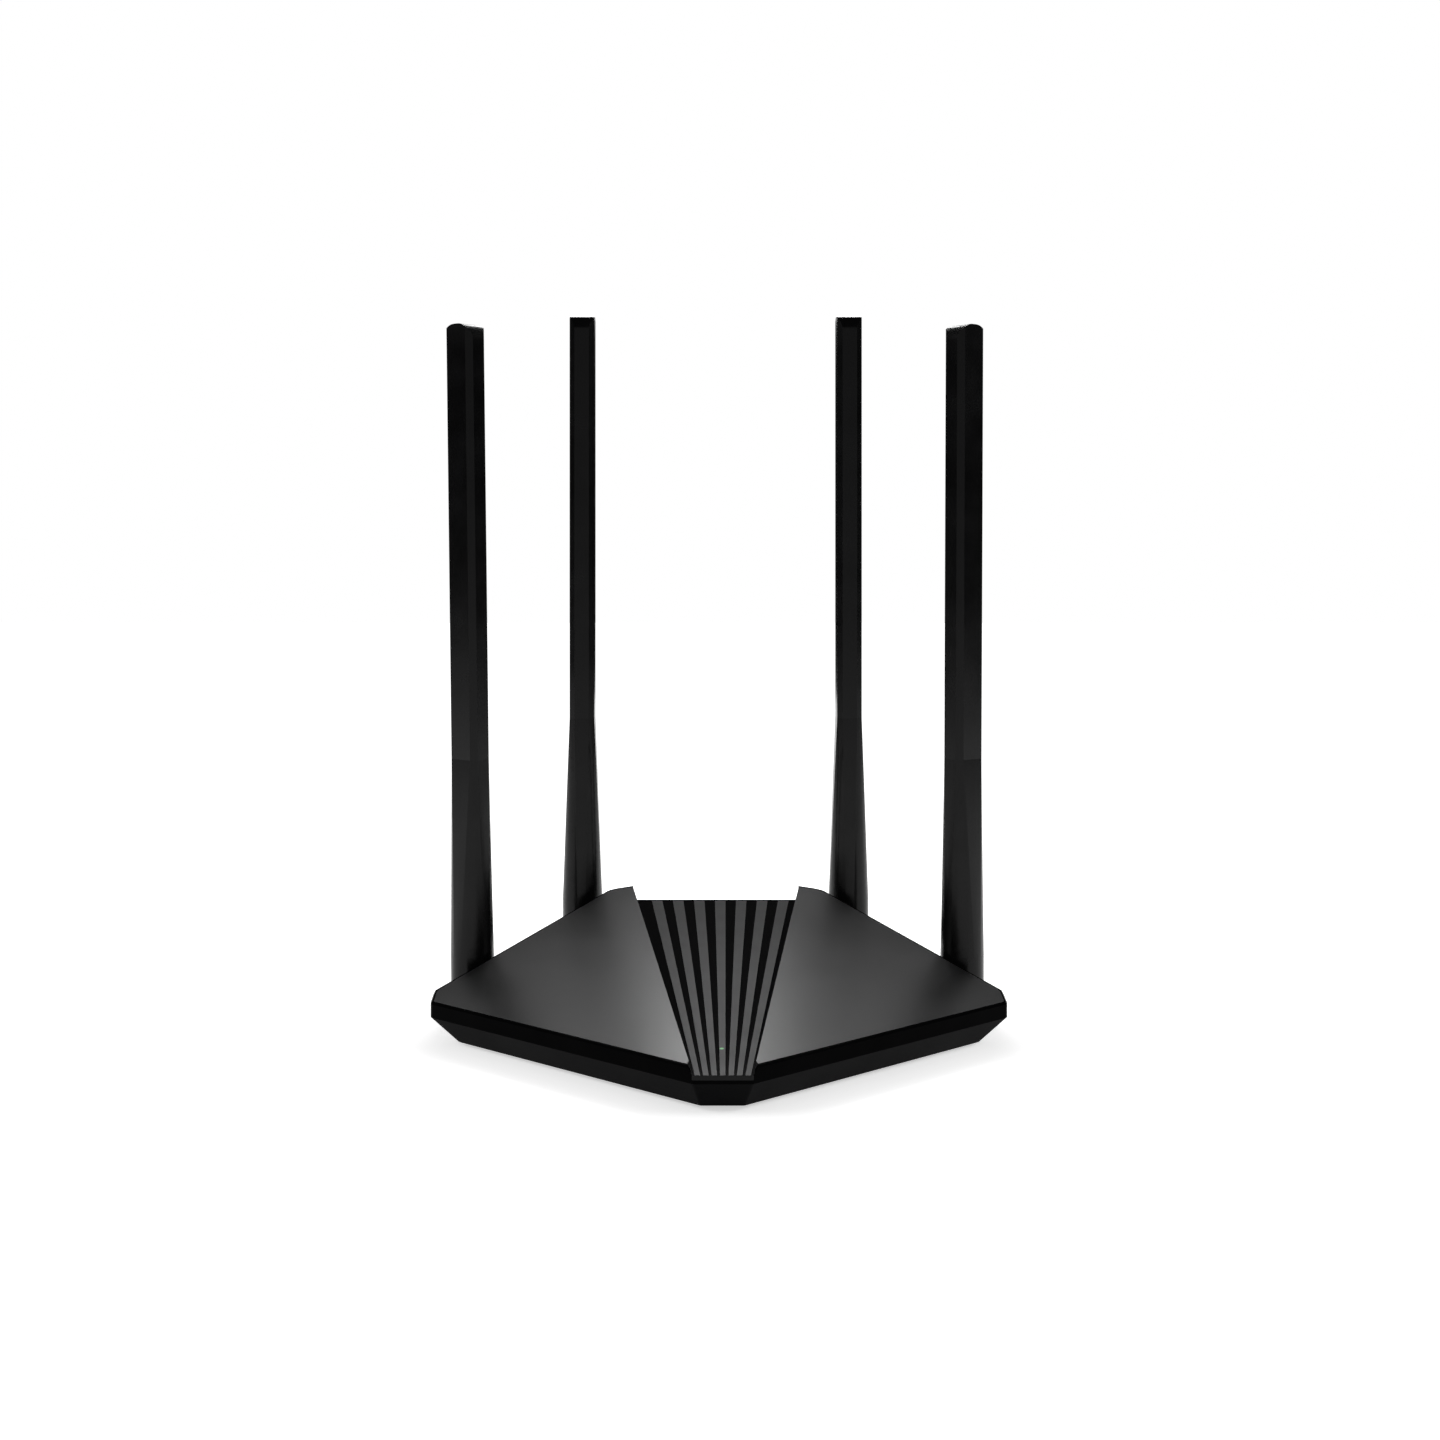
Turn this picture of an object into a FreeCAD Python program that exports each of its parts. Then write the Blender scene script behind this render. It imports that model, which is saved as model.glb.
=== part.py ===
import FreeCAD, Part
import math
import os
from FreeCAD import Vector

# Four-antenna wireless router, in millimetres.
# +X is to the right of someone facing the nose, +Y runs from the nose to the sockets, +Z is up.
# The origin is on the surface that the feet stand on, under the middle of the object's box.

# ---- driving dimensions: casing ---------------------------------------------------------
body_width = 208.8
body_depth = 171.6
body_height = 41.7
foot_height = 1.5
undercut_height = 8.73
band_height = 5.38
nose_width = 19.0
front_sweep = 41.23
side_length = 10.8
rear_width = 87.6
undercut_nose = 6.5
undercut_front = 6.5
undercut_side = 10.0
undercut_oblique = 6.5
nose_radius = 1.5
side_front_radius = 3.5
side_rear_radius = 7.0
rear_radius = 8.0
wall = 2.0
deck = 1.8
rim = 1.0
edge_chamfer = 0.45
seam = 0.15
lip_height = 1.4
lip_gap = 0.15

# ---- driving dimensions: wing covers and centre panel -----------------------------------
cover_thickness = 1.6
panel_thickness = 1.6
channel_front_width = 19.86
channel_rear_width = 67.72
panel_front_drop = 2.55
panel_rear_drop = 5.66
corner_facet = 2.4
rib_count = 7
rib_height = 0.3
rib_front_pitch = 2.67
rib_rear_pitch = 8.65
rib_front_width = 1.7
rib_rear_width = 4.35
rib_rear_lean = 1.8
light_setback = 20.95
light_radius = 0.65

# ---- driving dimensions: antennas -------------------------------------------------------
blade_length = 251.0
blade_width = 10.15
blade_depth = 14.1
blade_chamfer = 2.1
blade_tip_radius = 6.0
base_radius = 8.3
base_flat_angle = 12.0
flare_start = 85.0
foot_top = 10.0
sleeve_wall = 1.6
sleeve_edge_wall = 2.1
spigot_height = 8.0
radiator_thickness = 0.8
radiator_inset = 3.1
radiator_top_gap = 8.0
radiator_foot_gap = 2.0
inner_hinge_offset = 11.3
outer_hinge_inset = 10.5
hinge_z = (25.1, 14.4)
blade_lean = ((0.0, 0.0), (0.95, 0.3))
socket_length = (22.0, 12.0)
blade_gap = 0.55
flange_gap = 0.6
flange_thickness = 1.4
flange_radius = 5.2
journal_radius = 3.2
journal_clearance = 0.05
socket_radius = 4.75
tongue_width = 6.0
tongue_radius = 5.0
hinge_clearance = 0.3
pin_radius = 1.5
pin_clearance = 0.05
pin_inset = 1.5
stem_bore_radius = 1.1
stem_slit = 1.0
stem_slit_length = 10.0
stem_barb_length = 2.4
stem_barb_radius = (2.5, 3.7)
tongue_flat = 0.8

# ---- driving dimensions: board, sockets and buttons -------------------------------------
board_height = 8.0
board_thickness = 1.6
port_gap = 0.25
port_recess = 0.2
rj_width = 16.0
rj_height = 13.4
rj_depth = 18.0
mouth_width = 11.8
mouth_height = 7.2
mouth_depth = 13.0
mouth_lift = 4.2
latch_steps = ((6.2, 1.6), (3.4, 1.4))
contact_count = 8
contact_pitch = 1.27
contact_width = 0.4
contact_drop = 2.2
contact_thickness = 0.5
jack_width = 9.0
jack_height = 11.0
jack_depth = 14.0
jack_bore = 3.2
jack_bore_depth = 10.0
jack_axis_drop = 4.7
jack_pin_radius = 1.0
jack_pin_setback = 2.0
port_spacing = 1.5
port_row_margin = 4.45
button_radius = {"power_button": 3.2, "wps_reset_button": 2.0}
button_travel = {"power_button": 1.5, "wps_reset_button": 0.6}
button_height = 7.0
button_proud = {"power_button": 2.0, "wps_reset_button": 0.9}
button_flange = 0.9
button_flange_thickness = 1.2
switch_width = 6.0
switch_depth = 8.0
switch_rise = 3.0

# ---- driving dimensions: what stands on the board ---------------------------------------
board_inset_front = 14.0
board_inset_side = 30.0
board_inset_oblique = 12.0
board_rear_gap = 1.0
processor_x = 18.0
processor_size = 16.0
processor_height = 1.2
thermal_pad_thickness = 0.5
heat_sink_size = 26.0
heat_sink_base = 2.0
heat_sink_height = 7.5
fin_count = 7
fin_thickness = 1.0
rear_row_setback = 66.0
shield_height = 3.0
shield_wall = 0.4
rear_shield_x = -20.0
rear_shield_size = (34.0, 28.0)
front_shield_size = (40.0, 24.0)
transformer_size = (12.0, 8.0, 4.0)
transformer_gap = 3.0
capacitor_radius = 3.0
capacitor_height = 9.0
led_size = 2.0
led_height = 0.8
light_pipe_gap = 0.3
lead_radius = 0.6
connector_radius = 1.5
connector_height = 1.8

# ---- driving dimensions: fasteners, feet and underside ----------------------------------
post_radius = 3.5
case_screw_radius = 1.25
case_screw_length = 9.0
screw_head_radius = 2.4
screw_head_height = 1.6
standoff_radius = 3.0
front_standoff_setback = 34.0
board_screw_radius = 1.1
board_screw_head_radius = 2.2
board_screw_head_height = 1.4
board_screw_reach = 4.0
cross_width = 0.7
cross_length = 2.8
cross_depth = 0.8
foot_radius = 5.0
foot_recess = 0.6
keyhole_spacing = 90.0
keyhole_head = 4.2
keyhole_slot = 2.2
keyhole_length = 8.0
vent_length = 20.0
vent_width = 2.0
vent_pitch = 5.0
label_size = (50.0, 24.0)
label_thickness = 0.3
label_gap = 0.2

# ---- worked-out places ------------------------------------------------------------------
ports = ("wps_reset_button", "lan_socket_2", "lan_socket_1", "wan_socket", "power_button", "dc_jack")


def port_width(name):
    """The width that one socket, jack or button takes up on the board."""
    if name in button_radius:
        return max(switch_width, 2 * (button_radius[name] + button_flange))
    return jack_width if name == "dc_jack" else rj_width


port_row_width = sum(port_width(name) for name in ports) + port_spacing * (len(ports) - 1)
rear_wall_width = max(rear_width, port_row_width + 2 * port_row_margin)
blade_reach = blade_gap + 2 * base_radius
nose_y = -(body_depth + blade_reach) / 2
rear_y = nose_y + body_depth
floor_z = foot_height
parting_z = floor_z + undercut_height
band_top_z = parting_z + band_height
board_top = board_height + board_thickness
half_width = body_width / 2
half_nose = nose_width / 2
sweep = math.radians(front_sweep)
corner_y = nose_y + math.tan(sweep) * (half_width - half_nose)
hinge_x = (rear_wall_width / 2 + inner_hinge_offset, half_width - outer_hinge_inset)
REACH = 700.0

right_points = [
    (half_nose, nose_y),
    (half_width, corner_y),
    (half_width, corner_y + side_length),
    (rear_wall_width / 2, rear_y),
]
outline_points = right_points + [(-x, y) for x, y in reversed(right_points)]
oblique_run = (half_width - rear_wall_width / 2, rear_y - corner_y - side_length)
hinge_turn = (0.0, math.degrees(math.atan2(oblique_run[1], oblique_run[0])))
right_radii = [nose_radius, side_front_radius, side_rear_radius, rear_radius]
outline_radii = right_radii + right_radii[::-1]
right_undercuts = [undercut_front, undercut_side, undercut_oblique]
undercuts = right_undercuts + [0.0] + right_undercuts[::-1] + [undercut_nose]


def node(name, *shapes):
    """Write one named piece, or one group of separate pieces."""
    solids = []
    for shape in shapes:
        clean = shape.removeSplitter()
        assert clean.isValid(), name
        solids += clean.Solids
    assert solids, name
    result = solids[0] if len(solids) == 1 else Part.makeCompound(solids)
    result.exportStep(os.path.join("parts", name + ".step"))
    print(name, len(solids), "solids", round(result.Volume, 1), "mm3")


# ---- plan outlines ----------------------------------------------------------------------
def inset_points(points, insets):
    """Move each edge of a counter-clockwise outline inwards by its own amount."""
    count = len(points)
    lines = []
    for i in range(count):
        (ax, ay), (bx, by) = points[i], points[(i + 1) % count]
        length = math.hypot(bx - ax, by - ay)
        nx, ny = -(by - ay) / length, (bx - ax) / length
        lines.append((nx, ny, nx * ax + ny * ay + insets[i]))
    result = []
    for i in range(count):
        a1, b1, c1 = lines[i - 1]
        a2, b2, c2 = lines[i]
        det = a1 * b2 - a2 * b1
        result.append(((c1 * b2 - c2 * b1) / det, (a1 * c2 - a2 * c1) / det))
    return result


def rounded_wire(points, radii, z):
    """A closed wire of straight runs joined by arcs of the given corner radii."""
    count = len(points)
    corners = []
    for i in range(count):
        here = Vector(points[i][0], points[i][1], z)
        before = Vector(points[i - 1][0], points[i - 1][1], z)
        after = Vector(points[(i + 1) % count][0], points[(i + 1) % count][1], z)
        to_before = (before - here).normalize()
        to_after = (after - here).normalize()
        half_angle = to_before.getAngle(to_after) / 2
        reach = radii[i] / math.tan(half_angle)
        bisector = (to_before + to_after).normalize()
        middle = here + bisector * (radii[i] / math.sin(half_angle) - radii[i])
        corners.append((here + to_before * reach, middle, here + to_after * reach))
    edges = []
    for i in range(count):
        start, middle, end = corners[i]
        edges.append(Part.Arc(start, middle, end).toShape())
        edges.append(Part.LineSegment(end, corners[(i + 1) % count][0]).toShape())
    return Part.Wire(edges)


def outline_wire(insets, z):
    """The casing's plan outline with each edge inset, at one height."""
    if not isinstance(insets, list):
        insets = [insets] * len(outline_points)
    radii = [max(radius - min(insets), 0.6) for radius in outline_radii]
    return rounded_wire(inset_points(outline_points, insets), radii, z)


def prism(wire, height):
    return Part.Face(wire).extrude(Vector(0, 0, height))


def polygon_prism(points, z, height):
    corners = [Vector(x, y, z) for x, y in points]
    return Part.Face(Part.makePolygon(corners + corners[:1])).extrude(Vector(0, 0, height))


def box(x, y, z):
    """A box from three (low, high) pairs."""
    return Part.makeBox(x[1] - x[0], y[1] - y[0], z[1] - z[0], Vector(x[0], y[0], z[0]))


def upright(radius, x, y, z_low, z_high):
    return Part.makeCylinder(radius, z_high - z_low, Vector(x, y, z_low))


# ---- sloping planes of the top ----------------------------------------------------------
def half_space(point, normal):
    """The solid behind a plane, on the side that its normal points away from."""
    block = Part.makeBox(REACH, REACH, REACH, Vector(-REACH / 2, -REACH / 2, -REACH))
    block.Placement = FreeCAD.Placement(point, FreeCAD.Rotation(Vector(0, 0, 1), normal))
    return block


peak_x = channel_rear_width / 2
front_edge_normal = (-math.sin(sweep), math.cos(sweep))
peak_run = (peak_x - half_nose) * front_edge_normal[0] + body_depth * front_edge_normal[1]
wing_slope = (body_height - band_top_z) / peak_run


def wing_normal(side):
    gx = wing_slope * front_edge_normal[0] * side
    gy = wing_slope * front_edge_normal[1]
    return Vector(-gx, -gy, 1).normalize()


def wing_height(x, y):
    run = (abs(x) - half_nose) * front_edge_normal[0] + (y - nose_y) * front_edge_normal[1]
    return band_top_z + wing_slope * run


def under_wing(side, drop):
    """Everything below one wing's top plane, lowered square to the plane."""
    normal = wing_normal(side)
    return half_space(Vector(side * half_nose, nose_y, band_top_z) - normal * drop, normal)


panel_front_z = band_top_z - panel_front_drop
panel_rear_z = body_height - panel_rear_drop
panel_slope = (panel_rear_z - panel_front_z) / body_depth
panel_normal = Vector(0, -panel_slope, 1).normalize()


def under_panel(drop):
    return half_space(Vector(0, nose_y, panel_front_z) - panel_normal * drop, panel_normal)


def fan_prism(front, rear, start=nose_y, end=rear_y, z=-5.0, height=60.0):
    """An upright prism over a plan strip; front and rear are its x ranges at nose and rear."""
    def x_at(pair, y):
        share = (y - nose_y) / body_depth
        return front[pair] + (rear[pair] - front[pair]) * share
    plan = [(x_at(0, start), start), (x_at(1, start), start), (x_at(1, end), end), (x_at(0, end), end)]
    return polygon_prism(plan, z, height)


def channel(widen=0.0, start=nose_y - 5, end=rear_y + 5):
    front = channel_front_width / 2 + widen
    rear = channel_rear_width / 2 + widen
    return fan_prism((-front, front), (-rear, rear), start, end)


def side_block(side):
    return box((0, REACH) if side > 0 else (-REACH, 0), (-REACH, REACH), (-REACH, REACH))


def sloped_body(wire, drop):
    """The outline, upright from one height, cut off under both wing planes."""
    column = prism(wire, body_height)
    halves = []
    for side in (-1, 1):
        half = column.common(side_block(side)).common(under_wing(side, drop))
        halves.append(half)
    return halves


def bevel_top_edges(half, side):
    """Break the long top edges of one wing with a narrow flat."""
    points = [(side * x, y) for x, y in right_points]
    for (ax, ay), (bx, by) in zip(points, points[1:]):
        outward = Vector(by - ay, ax - bx, 0).normalize() * side
        normal = (outward + wing_normal(side)).normalize()
        middle_x, middle_y = (ax + bx) / 2, (ay + by) / 2
        edge = Vector(middle_x, middle_y, wing_height(middle_x, middle_y))
        half = half.common(half_space(edge - outward * edge_chamfer, normal))
    return half


# ---- antenna places ---------------------------------------------------------------------
flange_front = -(base_radius + flange_gap)
socket_face = flange_front - flange_thickness
wall_standoff = (blade_gap + base_radius, -socket_face)


def hinge_point(which, side):
    """Centre of a blade's hinge: which is 0 for the inner pair and 1 for the outer pair."""
    x = hinge_x[which]
    standoff = wall_standoff[which]
    turn = math.radians(hinge_turn[which])
    along = (half_width - x + standoff * math.sin(turn)) / oblique_run[0]
    wall_y = rear_y if which == 0 else right_points[2][1] + along * oblique_run[1]
    return Vector(side * x, wall_y + standoff * math.cos(turn), hinge_z[which])


def placed(shape, which, side):
    """Put a piece made about the hinge, with its stem towards -Y, at its antenna."""
    turn = FreeCAD.Rotation(Vector(0, 0, 1), -side * hinge_turn[which])
    lean = FreeCAD.Rotation(Vector(0, 1, 0), side * blade_lean[which][(side + 1) // 2])
    copy = shape.copy()
    copy.Placement = FreeCAD.Placement(hinge_point(which, side), turn.multiply(lean))
    return copy


ANTENNAS = [
    ("outer_left", 1, -1),
    ("inner_left", 0, -1),
    ("inner_right", 0, 1),
    ("outer_right", 1, 1),
]


def along_y(radius, y_low, y_high):
    return Part.makeCylinder(radius, y_high - y_low, Vector(0, y_low, 0), Vector(0, 1, 0))


def along_x(radius, half_length):
    return Part.makeCylinder(radius, 2 * half_length, Vector(-half_length, 0, 0), Vector(1, 0, 0))


# ---- board and fastener places ----------------------------------------------------------
def both_sides(x, y):
    return [(-x, y), (x, y)]


case_posts = (both_sides(22.0, nose_y + 30.0) + both_sides(half_width - 20.4, corner_y + 3.8)
              + both_sides(rear_wall_width / 2 + 0.2, rear_y - 27.6))
standoffs = (both_sides(13.0, nose_y + front_standoff_setback) + both_sides(half_width - 46.4, corner_y + 8.8)
             + both_sides(24.0, rear_y - 33.6))
feet = ([(0.0, nose_y + 24.0)] + both_sides(half_width - 30.4, corner_y + 2.8)
        + both_sides(29.0, rear_y - 11.6))
keyholes = both_sides(keyhole_spacing / 2, corner_y + 0.8)
vent_rows = (nose_y + 40.0, nose_y + 63.0)
label_y = rear_y - 45.6
rear_row_y = rear_y - rear_row_setback
rear_row_front = rear_row_y - max(rear_shield_size[1], heat_sink_size) / 2
front_screws_rear = nose_y + front_standoff_setback + board_screw_head_radius
front_row_y = (front_screws_rear + rear_row_front) / 2
lead_places = ((40.0, rear_y - 53.6), (half_width - 42.4, corner_y - 9.2))
socket_face_y = rear_y - port_recess
inner_rear_y = rear_y - wall
jack_axis_z = board_top + jack_height - jack_axis_drop
mouth_floor = board_top + mouth_lift
mouth_roof = mouth_floor + mouth_height
mouth_back = socket_face_y - mouth_depth


def port_places():
    """The x of each socket, jack and button, in one row centred on the rear wall."""
    x = -port_row_width / 2
    places = {}
    for name in ports:
        places[name] = x + port_width(name) / 2
        x += port_width(name) + port_spacing
    return places


port_x = port_places()
jack_x = port_x["dc_jack"]
rj_x = {name: port_x[name] for name in ("wan_socket", "lan_socket_1", "lan_socket_2")}
button_x = {name: port_x[name] for name in button_radius}


# ---- casing -----------------------------------------------------------------------------
def port_openings():
    """The holes in the rear wall, each a little larger than what stands in it."""
    holes = []
    for x in rj_x.values():
        half = rj_width / 2 + port_gap
        holes.append(box((x - half, x + half), (inner_rear_y - 3, rear_y + 3),
                         (board_top - port_gap, board_top + rj_height + port_gap)))
    half = jack_width / 2 + port_gap
    holes.append(box((jack_x - half, jack_x + half), (inner_rear_y - 3, rear_y + 3),
                     (board_top - port_gap, board_top + jack_height + port_gap)))
    for name, x in button_x.items():
        radius = button_radius[name] + hinge_clearance
        holes.append(Part.makeCylinder(radius, wall + 6, Vector(x, inner_rear_y - 3,
                     board_top + button_height), Vector(0, 1, 0)))
    return holes


def lip_ring(inner, outer, height):
    ring = prism(outline_wire(outer, parting_z), height)
    ring = ring.cut(prism(outline_wire(inner, parting_z), height))
    nose_block = box((-nose_width, nose_width), (nose_y - 5, nose_y + 25), (0, 50))
    return ring.cut(nose_block)


def lower_case():
    outer = Part.makeLoft([outline_wire(undercuts, floor_z), outline_wire(0.0, parting_z)], True, True)
    thick = [cut + wall for cut in undercuts]
    hollow_low = outline_wire(thick, floor_z)
    hollow_high = outline_wire(wall, parting_z)
    hollow = Part.makeLoft([hollow_low, hollow_high], True, True)
    hollow = hollow.common(box((-REACH, REACH), (-REACH, REACH), (floor_z + wall, REACH)))
    case = outer.cut(hollow)
    lip = lip_ring(wall, rim + lip_gap, lip_height)
    for name, which, side in ANTENNAS:
        socket = along_y(socket_radius + lip_gap, socket_face - socket_length[which], socket_face)
        lip = lip.cut(placed(socket, which, side))
    case = case.fuse(lip)
    for x, y in case_posts:
        case = case.fuse(upright(post_radius, x, y, floor_z, parting_z).common(outer))
    for x, y in standoffs:
        case = case.fuse(upright(standoff_radius, x, y, floor_z, board_height))
    for x, y in case_posts:
        head_top = floor_z + wall + screw_head_height
        case = case.cut(upright(screw_head_radius + port_gap, x, y, floor_z - 1, head_top))
        case = case.cut(upright(case_screw_radius + port_gap, x, y, head_top, parting_z + 1))
    for x, y in standoffs:
        case = case.cut(upright(board_screw_radius, x, y, floor_z + wall, board_height + 1))
    for x, y in feet:
        case = case.cut(upright(foot_radius, x, y, floor_z - 1, floor_z + foot_recess))
    for x, y in keyholes:
        case = case.cut(upright(keyhole_head, x, y, 0, floor_z + wall + 1))
        case = case.cut(upright(keyhole_slot, x, y + keyhole_length, 0, floor_z + wall + 1))
        case = case.cut(box((x - keyhole_slot, x + keyhole_slot), (y, y + keyhole_length),
                            (0, floor_z + wall + 1)))
    case = case.cut(Part.makeCompound(bottom_vents()))
    case = case.cut(label_block(0.0))
    for hole in port_openings():
        case = case.cut(hole)
    return case


def bottom_vents():
    slots = []
    half = vent_width / 2
    for y in vent_rows:
        for column in range(-5, 6):
            x = column * vent_pitch
            slots.append(box((x - half, x + half), (y, y + vent_length), (0, floor_z + wall + 1)))
    return slots


def label_block(gap):
    half_x, half_y = label_size[0] / 2 - gap, label_size[1] / 2 - gap
    return box((-half_x, half_x), (label_y - half_y, label_y + half_y),
               (floor_z - 1, floor_z + label_thickness))


def upper_case():
    halves = sloped_body(outline_wire(0.0, parting_z), 0.0)
    halves = [bevel_top_edges(half, side) for half, side in zip(halves, (-1, 1))]
    case = halves[0].fuse(halves[1])
    case = case.cut(channel().cut(under_panel(0.0)))
    panel_bed = channel(0.0, nose_y - rim, rear_y - rim).cut(under_panel(panel_thickness))
    case = case.cut(panel_bed)
    for side in (-1, 1):
        case = case.cut(cover_region(side, rim).cut(under_wing(side, cover_thickness)))
        case = case.cut(nose_facet(side))
    hollow_halves = sloped_body(outline_wire(wall, parting_z - 1), cover_thickness + deck)
    hollow = hollow_halves[0].fuse(hollow_halves[1])
    hollow = hollow.cut(channel(deck).cut(under_panel(panel_thickness + deck)))
    case = case.cut(hollow)
    rebate = lip_ring(wall, rim, lip_height + lip_gap)
    case = case.cut(rebate)
    for x, y in case_posts:
        post = upright(post_radius, x, y, parting_z, body_height)
        case = case.fuse(post.common(hollow))
    for name, which, side in ANTENNAS:
        socket = along_y(socket_radius, socket_face - socket_length[which], socket_face)
        socket = placed(socket, which, side)
        above = box((-REACH, REACH), (-REACH, REACH), (parting_z, REACH))
        case = case.fuse(socket.common(above).common(under_wing(side, cover_thickness)))
    for name, which, side in ANTENNAS:
        bore = along_y(journal_radius + journal_clearance, socket_face - socket_length[which] - 12,
                       socket_face + 1)
        case = case.cut(placed(bore, which, side)).cut(placed(barb_relief(which), which, side))
    for x, y in case_posts:
        case = case.cut(upright(case_screw_radius, x, y, parting_z - 1, case_screw_top()))
    for hole in port_openings():
        case = case.cut(hole)
    return case.cut(light_hole())


def barb_relief(which):
    """The room round the barb that holds a hub in its socket."""
    end = socket_face - socket_length[which]
    low = end - stem_barb_length - 2 * hinge_clearance
    return along_y(stem_barb_radius[1] + hinge_clearance, low, end)


def light_hole():
    return upright(light_radius + journal_clearance, 0, nose_y + light_setback, board_top, body_height)


def cover_region(side, inset):
    """One wing's share of the plan, inside the rim and beside the centre channel."""
    column = prism(outline_wire(inset, 5.0), body_height)
    return column.common(side_block(side)).cut(channel(inset - rim))


def nose_facet(side):
    """The small sloping corner where a wing's inner edge meets the nose."""
    corner = Vector(side * (channel_front_width / 2), nose_y, panel_front_z)
    normal = Vector(-side, -0.35, 0.85).normalize()
    tool = Part.makeBox(REACH, REACH, REACH, Vector(-REACH / 2, -REACH / 2, 0))
    tool.Placement = FreeCAD.Placement(corner, FreeCAD.Rotation(Vector(0, 0, 1), normal))
    keep = box((-half_nose - 2 * corner_facet, half_nose + 2 * corner_facet),
               (nose_y - 5, nose_y + 2 * corner_facet), (0, REACH))
    return tool.common(keep).common(side_block(side)).cut(under_panel(0.0))


def wing_cover(side):
    cover = cover_region(side, rim + seam).common(under_wing(side, 0.0))
    cover = cover.cut(under_wing(side, cover_thickness))
    return cover.cut(nose_facet(side))


def rib(index):
    place = index - (rib_count - 1) / 2
    front = place * rib_front_pitch
    rear = place * rib_rear_pitch + rib_rear_lean
    return fan_prism((front - rib_front_width / 2, front + rib_front_width / 2),
                     (rear - rib_rear_width / 2, rear + rib_rear_width / 2))


def centre_panel():
    slab = channel(-seam, nose_y, rear_y - rim - seam).common(prism(outline_wire(0.0, 0.0), body_height))
    slab = slab.cut(under_panel(panel_thickness))
    panel = slab.common(under_panel(rib_height))
    for index in range(rib_count):
        panel = panel.fuse(rib(index).common(slab).common(under_panel(0.0)))
    return panel.cut(light_hole())


def case_screw_top():
    return floor_z + wall + screw_head_height + case_screw_length


# ---- antenna pieces, made about the hinge -----------------------------------------------
def section_wire(width, depth, z):
    """The blade's section: a rectangle with cut corners."""
    a, b, c = width / 2, depth / 2, blade_chamfer
    corners = [(a, b - c), (a - c, b), (c - a, b), (-a, b - c),
               (-a, c - b), (c - a, -b), (a - c, -b), (a, c - b)]
    points = [Vector(x, y, z) for x, y in corners]
    return Part.makePolygon(points + points[:1])


def base_wire(z):
    """The round section at the foot, in eight arcs that match the sides of the blade's section."""
    flat = base_flat_angle
    starts = [flat, 90 - flat, 90 + flat, 180 - flat, 180 + flat, 270 - flat, 270 + flat, 360 - flat]
    ends = starts[1:] + [360 + flat]
    def at(angle):
        turn = math.radians(angle)
        return Vector(base_radius * math.cos(turn), base_radius * math.sin(turn), z)
    arcs = []
    for start, end in zip(starts, ends):
        arcs.append(Part.Arc(at(start), at((start + end) / 2), at(end)).toShape())
    return Part.Wire(arcs)


def blade_profile(z_low):
    """The blade seen from its side, with its two top corners rounded."""
    b, top, r = blade_depth / 2, blade_length, blade_tip_radius
    slant = r * (1 - math.sqrt(0.5))
    edges = [
        Part.LineSegment(Vector(0, -b, z_low), Vector(0, b, z_low)),
        Part.LineSegment(Vector(0, b, z_low), Vector(0, b, top - r)),
        Part.Arc(Vector(0, b, top - r), Vector(0, b - slant, top - slant), Vector(0, b - r, top)),
        Part.LineSegment(Vector(0, b - r, top), Vector(0, r - b, top)),
        Part.Arc(Vector(0, r - b, top), Vector(0, slant - b, top - slant), Vector(0, -b, top - r)),
        Part.LineSegment(Vector(0, -b, top - r), Vector(0, -b, z_low)),
    ]
    return Part.Face(Part.Wire([edge.toShape() for edge in edges]))


def sleeve():
    """A faceted blade that flares to a round foot, its tip rounded in side view, hollow inside."""
    straight = prism(section_wire(blade_width, blade_depth, flare_start), blade_length - flare_start)
    outline = blade_profile(flare_start).extrude(Vector(2 * blade_width, 0, 0))
    outline.translate(Vector(-blade_width, 0, 0))
    flare_top = section_wire(blade_width, blade_depth, flare_start)
    flare = Part.makeLoft([base_wire(foot_top), flare_top], True, True)
    whole = straight.common(outline).fuse(flare)
    inner_x = blade_width / 2 - sleeve_wall
    inner_y = blade_depth / 2 - sleeve_edge_wall
    return whole.cut(box((-inner_x, inner_x), (-inner_y, inner_y),
                         (foot_top - 1, blade_length - blade_tip_radius - sleeve_wall)))


def radiator_slot():
    half_x, half_y = radiator_thickness / 2, blade_depth / 2 - radiator_inset
    return box((-half_x, half_x), (-half_y, half_y),
               (foot_top + radiator_foot_gap, blade_length - blade_tip_radius - radiator_top_gap))


def fork_foot():
    b = base_radius
    outer = upright(b, 0, 0, -b, foot_top)
    rounding = along_x(b, 2 * b).fuse(box((-2 * b, 2 * b), (-b, b), (0, foot_top)))
    foot = outer.common(rounding)
    inner_x = blade_width / 2 - sleeve_wall
    inner_y = blade_depth / 2 - sleeve_edge_wall
    foot = foot.fuse(box((-inner_x, inner_x), (-inner_y, inner_y), (foot_top, foot_top + spigot_height)))
    slot_half = tongue_width / 2 + hinge_clearance
    slot_reach = tongue_radius + hinge_clearance
    foot = foot.cut(box((-slot_half, slot_half), (-b - 1, slot_reach), (-b - 1, 0)))
    foot = foot.cut(box((-slot_half, slot_half), (-b - 1, 0), (-b - 1, slot_reach)))
    foot = foot.cut(along_x(slot_reach, slot_half))
    foot = foot.cut(hinge_pin())
    return foot.cut(radiator_slot())


def hinge_pin():
    return along_x(pin_radius, base_radius - pin_inset)


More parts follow.
